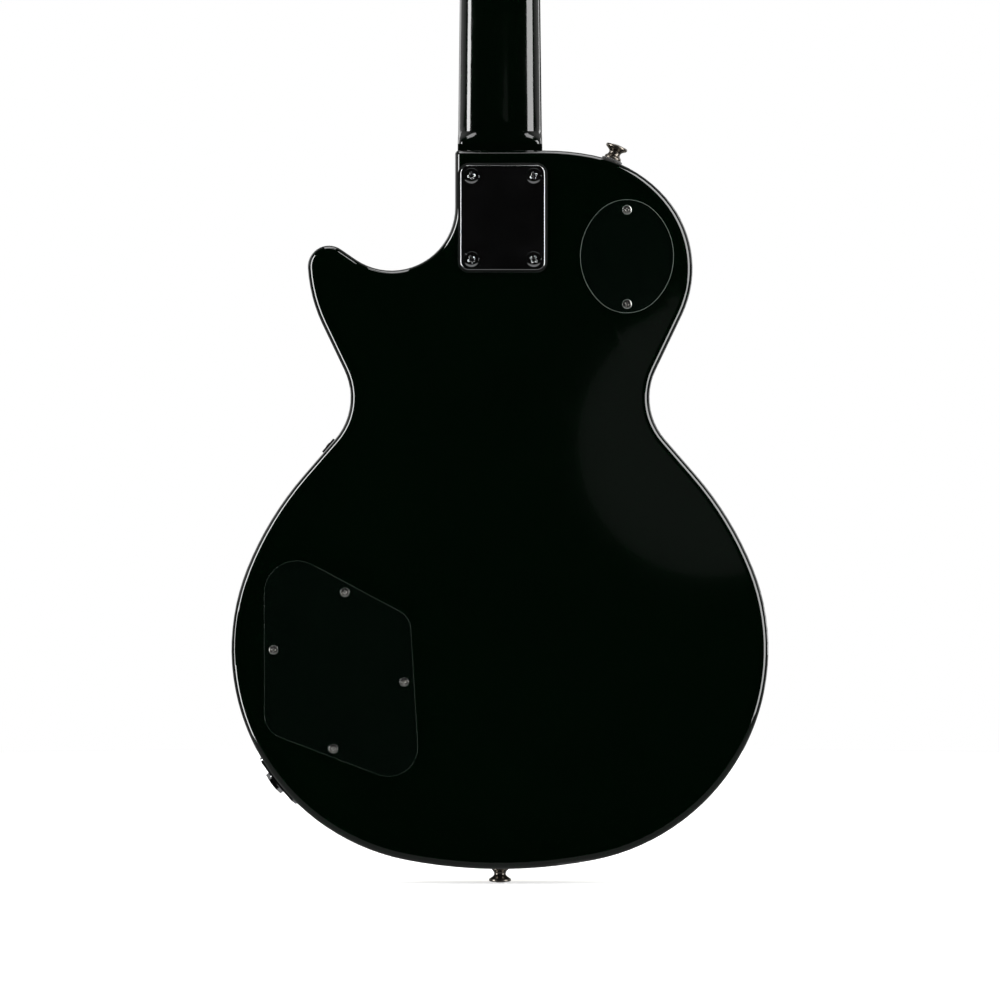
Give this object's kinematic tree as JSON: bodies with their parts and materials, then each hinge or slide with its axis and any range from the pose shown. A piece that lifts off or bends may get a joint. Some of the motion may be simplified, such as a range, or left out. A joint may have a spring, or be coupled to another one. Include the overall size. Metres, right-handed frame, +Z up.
{
  "type": "electric guitar",
  "caption": "Right-handed solid-body electric guitar with a single cutaway, a carved top, a bolt-on neck, humbucking pickups and a stop tailpiece.",
  "frame": {"origin": "seat of the end strap button: bottom centre of the body, at mid depth of its rim", "axes": "+Z up the neck to the headstock, the front with the strings faces -Y, the cutaway and treble side is +X"},
  "size_m": [0.3292, 0.1094, 1.0037],
  "materials": {
    "body_lacquer": "gloss black polyester over wood",
    "neck_lacquer": "gloss black polyester over maple",
    "fretboard_wood": "oiled rosewood",
    "binding": "polished cream",
    "fret_metal": "polished nickel silver",
    "inlay": "pearloid",
    "nut_material": "polished bone",
    "rod_steel": "zinc plated",
    "black_plastic": "satin moulded",
    "cushion_plastic": "matt moulded",
    "chrome": "mirror plate",
    "screw_metal": "nickel plate",
    "felt": "pressed felt",
    "knob_plastic": "polished moulded",
    "lever_parts": "plated lever, cream tip",
    "pickup_parts": "nickel silver base with coils",
    "pot_metal": "plated can",
    "string_metal": "plain and wound steel",
    "wire_sheath": "insulated lead"
  },
  "bodies": {
    "root": {"body_back": "body_lacquer", "top_cap": "body_lacquer", "top_binding": "binding", "neck": "neck_lacquer", "fretboard": "fretboard_wood", "frets": "fret_metal", "fret_markers": "inlay", "nut": "nut_material", "truss_rod": "rod_steel", "truss_rod_cover": "black_plastic", "neck_plate": "chrome", "neck_plate_cushion": "cushion_plastic", "neck_screws": "chrome", "switch_cover": "black_plastic", "control_cover": "black_plastic", "cover_screws": "screw_metal", "strap_buttons": "chrome", "strap_button_felt": "felt", "strap_button_screws": "screw_metal", "jack_plate": "chrome", "output_jack": "chrome", "panel_nuts": "chrome", "pickguard": "black_plastic", "pickguard_bracket": "chrome", "trim_screws": "screw_metal", "pickup_rings": "black_plastic", "pickup_height_screws": "screw_metal", "bridge": "chrome", "bridge_saddles": "chrome", "bridge_studs": "chrome", "tailpiece": "chrome", "tailpiece_studs": "chrome", "toggle_switch": "rod_steel", "switch_ring": "black_plastic", "potentiometers": "pot_metal", "tuner_housings": "chrome", "tuner_bushings": "chrome", "strings": "string_metal", "wiring": "wire_sheath"},
    "neck_pickup": {"neck_pickup_cover": "chrome", "neck_pickup_base": "pickup_parts"},
    "bridge_pickup": {"bridge_pickup_cover": "chrome", "bridge_pickup_base": "pickup_parts"},
    "switch_lever": {"switch_lever": "lever_parts"},
    "tuner_key_1": {"tuner_key_1": "chrome"},
    "string_post_1": {"string_post_1": "chrome"},
    "tuner_key_2": {"tuner_key_2": "chrome"},
    "string_post_2": {"string_post_2": "chrome"},
    "tuner_key_3": {"tuner_key_3": "chrome"},
    "string_post_3": {"string_post_3": "chrome"},
    "tuner_key_4": {"tuner_key_4": "chrome"},
    "string_post_4": {"string_post_4": "chrome"},
    "tuner_key_5": {"tuner_key_5": "chrome"},
    "string_post_5": {"string_post_5": "chrome"},
    "tuner_key_6": {"tuner_key_6": "chrome"},
    "string_post_6": {"string_post_6": "chrome"},
    "neck_volume_knob": {"neck_volume_knob": "knob_plastic"},
    "neck_tone_knob": {"neck_tone_knob": "knob_plastic"},
    "bridge_volume_knob": {"bridge_volume_knob": "knob_plastic"},
    "bridge_tone_knob": {"bridge_tone_knob": "knob_plastic"}
  },
  "joints": [
    {"name": "neck_pickup_height", "type": "slide", "parent": "root", "child": "neck_pickup", "axis": [0, -0.9988, 0.048], "range_m": [-0.002, 0.0012]},
    {"name": "bridge_pickup_height", "type": "slide", "parent": "root", "child": "bridge_pickup", "axis": [0, -0.9988, 0.048], "range_m": [-0.002, 0.0012]},
    {"name": "tuner_key_1_turn", "type": "hinge", "parent": "root", "child": "tuner_key_1", "pos_m": [-0.024, 0.02234, 0.85524], "axis": [-1, 0, 0], "continuous": true},
    {"name": "string_post_1_turn", "type": "hinge", "parent": "root", "child": "string_post_1", "pos_m": [-0.024, 0.00716, 0.86795], "axis": [0, -0.9576, 0.2882], "continuous": true},
    {"name": "tuner_key_2_turn", "type": "hinge", "parent": "root", "child": "tuner_key_2", "pos_m": [-0.024, 0.03387, 0.89354], "axis": [-1, 0, 0], "continuous": true},
    {"name": "string_post_2_turn", "type": "hinge", "parent": "root", "child": "string_post_2", "pos_m": [-0.024, 0.01869, 0.90626], "axis": [0, -0.9576, 0.2882], "continuous": true},
    {"name": "tuner_key_3_turn", "type": "hinge", "parent": "root", "child": "tuner_key_3", "pos_m": [-0.024, 0.0454, 0.93185], "axis": [-1, 0, 0], "continuous": true},
    {"name": "string_post_3_turn", "type": "hinge", "parent": "root", "child": "string_post_3", "pos_m": [-0.024, 0.03022, 0.94456], "axis": [0, -0.9576, 0.2882], "continuous": true},
    {"name": "tuner_key_4_turn", "type": "hinge", "parent": "root", "child": "tuner_key_4", "pos_m": [0.024, 0.0454, 0.93185], "axis": [1, 0, 0], "continuous": true},
    {"name": "string_post_4_turn", "type": "hinge", "parent": "root", "child": "string_post_4", "pos_m": [0.024, 0.03022, 0.94456], "axis": [0, -0.9576, 0.2882], "continuous": true},
    {"name": "tuner_key_5_turn", "type": "hinge", "parent": "root", "child": "tuner_key_5", "pos_m": [0.024, 0.03387, 0.89354], "axis": [1, 0, 0], "continuous": true},
    {"name": "string_post_5_turn", "type": "hinge", "parent": "root", "child": "string_post_5", "pos_m": [0.024, 0.01869, 0.90626], "axis": [0, -0.9576, 0.2882], "continuous": true},
    {"name": "tuner_key_6_turn", "type": "hinge", "parent": "root", "child": "tuner_key_6", "pos_m": [0.024, 0.02234, 0.85524], "axis": [1, 0, 0], "continuous": true},
    {"name": "string_post_6_turn", "type": "hinge", "parent": "root", "child": "string_post_6", "pos_m": [0.024, 0.00716, 0.86795], "axis": [0, -0.9576, 0.2882], "continuous": true},
    {"name": "neck_volume_knob_turn", "type": "hinge", "parent": "root", "child": "neck_volume_knob", "pos_m": [0.078, -0.028, 0.146], "axis": [0, -1, 0], "range_deg": [-150, 150]},
    {"name": "neck_tone_knob_turn", "type": "hinge", "parent": "root", "child": "neck_tone_knob", "pos_m": [0.12, -0.028, 0.168], "axis": [0, -1, 0], "range_deg": [-150, 150]},
    {"name": "bridge_volume_knob_turn", "type": "hinge", "parent": "root", "child": "bridge_volume_knob", "pos_m": [0.075, -0.028, 0.092], "axis": [0, -1, 0], "range_deg": [-150, 150]},
    {"name": "bridge_tone_knob_turn", "type": "hinge", "parent": "root", "child": "bridge_tone_knob", "pos_m": [0.118, -0.028, 0.112], "axis": [0, -1, 0], "range_deg": [-150, 150]},
    {"name": "switch_lever_throw", "type": "hinge", "parent": "root", "child": "switch_lever", "pos_m": [-0.072, -0.019, 0.3755], "axis": [1, 0, 0], "range_deg": [-12, 12]}
  ],
  "couplings": [
    {"joint": "string_post_1_turn", "follows": "tuner_key_1_turn", "ratio": 0.071429},
    {"joint": "string_post_2_turn", "follows": "tuner_key_2_turn", "ratio": 0.071429},
    {"joint": "string_post_3_turn", "follows": "tuner_key_3_turn", "ratio": 0.071429},
    {"joint": "string_post_4_turn", "follows": "tuner_key_4_turn", "ratio": 0.071429},
    {"joint": "string_post_5_turn", "follows": "tuner_key_5_turn", "ratio": 0.071429},
    {"joint": "string_post_6_turn", "follows": "tuner_key_6_turn", "ratio": 0.071429}
  ]
}
